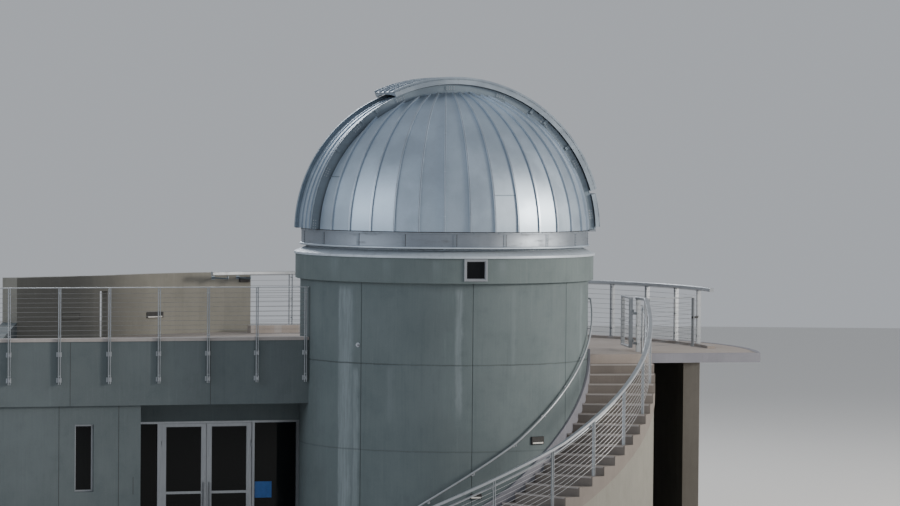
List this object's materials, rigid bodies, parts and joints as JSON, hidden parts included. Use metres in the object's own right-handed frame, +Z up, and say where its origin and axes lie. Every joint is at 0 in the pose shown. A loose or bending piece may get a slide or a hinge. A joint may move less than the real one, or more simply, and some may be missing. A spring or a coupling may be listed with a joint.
{
  "type": "observatory building with rotating dome",
  "caption": "Round concrete observatory tower with a rotating metal dome and shutter, a curved outside stair, a railed roof terrace and a low wing with glazed entrance doors.",
  "frame": {"origin": "tower axis at ground level, on the underside of the tower floor", "axes": "+Z up along the tower axis, -Y towards the front that is seen, +X to the right, towards the stair and deck"},
  "size_m": [15.4506, 13.0197, 9.3644],
  "materials": {
    "concrete": "board-smooth cast concrete with stains and pale streaks",
    "deck_concrete": "broom-finished cast concrete",
    "dome_metal": "galvanised sheet, dull, with spangle and weather marks",
    "flashing": "mill finish sheet",
    "rail_metal": "satin galvanised",
    "frame_metal": "clear anodised",
    "glass": "clear float glass over a dark interior"
  },
  "bodies": {
    "building": {"tower_floor": "deck_concrete", "observing_floor": "deck_concrete", "tower_wall_1": "concrete", "tower_wall_2": "concrete", "tower_wall_3": "concrete", "tower_wall_4": "concrete", "tower_wall_5": "concrete", "tower_wall_6": "concrete", "tower_wall_7": "concrete", "tower_wall_8": "concrete", "cornice": "concrete", "square_window_frame": "frame_metal", "square_window_glass": "glass", "cornice_flashing": "flashing", "dome_track": "dome_metal", "stair_flight_1": "deck_concrete", "stair_flight_2": "deck_concrete", "stair_flight_3": "deck_concrete", "stair_wall_1": "concrete", "stair_wall_2": "concrete", "stair_guard": "rail_metal", "tower_handrail": "rail_metal", "deck_right": "deck_concrete", "deck_back": "deck_concrete", "wing_terrace": "deck_concrete", "back_wall_1": "concrete", "back_wall_2": "concrete", "wing_back_wall_1": "concrete", "wing_back_wall_2": "concrete", "wing_fascia": "concrete", "wing_coping": "deck_concrete", "wing_front_wall": "concrete", "narrow_window_frame": "frame_metal", "narrow_window_glass": "glass", "entrance_wall": "concrete", "wing_floor": "deck_concrete", "wing_end_wall": "concrete", "entrance_frame": "frame_metal", "sidelight_glass": "glass", "fixed_glass": "glass", "front_guard": "rail_metal", "back_guard": "rail_metal", "back_guard_left": "rail_metal"},
    "dome": {"dome_ring": "dome_metal", "dome_shell_near_1": "dome_metal", "dome_shell_near_2": "dome_metal", "dome_shell_far_1": "dome_metal", "dome_shell_far_2": "dome_metal", "dome_back_strip": "dome_metal", "dome_arch_near": "dome_metal", "dome_arch_far": "dome_metal"},
    "upper_shutter": {"upper_shutter": "dome_metal"},
    "lower_shutter": {"lower_shutter": "dome_metal"},
    "door_left": {"door_left_frame": "frame_metal", "door_left_glass": "glass"},
    "door_right": {"door_right_frame": "frame_metal", "door_right_glass": "glass"},
    "stair_gate": {"stair_gate": "rail_metal"}
  },
  "joints": [
    {"name": "dome_rotation", "type": "hinge", "parent": "building", "child": "dome", "pos_m": [0, 0, 6.07], "axis": [0, 0, 1], "continuous": true},
    {"name": "shutter_travel", "type": "hinge", "parent": "dome", "child": "upper_shutter", "pos_m": [0, 0, 6.33], "axis": [0.2756, -0.9613, 0], "range_deg": [0, 68]},
    {"name": "drop_out_hinge", "type": "hinge", "parent": "dome", "child": "lower_shutter", "pos_m": [2.85206, 0.81782, 6.418], "axis": [-0.2756, 0.9613, 0], "range_deg": [0, 90]},
    {"name": "door_left_hinge", "type": "hinge", "parent": "building", "child": "door_left", "pos_m": [-5.47836, -0.86874, 0.1], "axis": [0, 0, -1], "range_deg": [0, 90]},
    {"name": "door_right_hinge", "type": "hinge", "parent": "building", "child": "door_right", "pos_m": [-3.76739, -0.32927, 0.1], "axis": [0, 0, 1], "range_deg": [0, 90]},
    {"name": "gate_hinge", "type": "hinge", "parent": "building", "child": "stair_gate", "pos_m": [3.79813, 1.20722, 4.1], "axis": [0, 0, 1], "range_deg": [0, 100]}
  ]
}
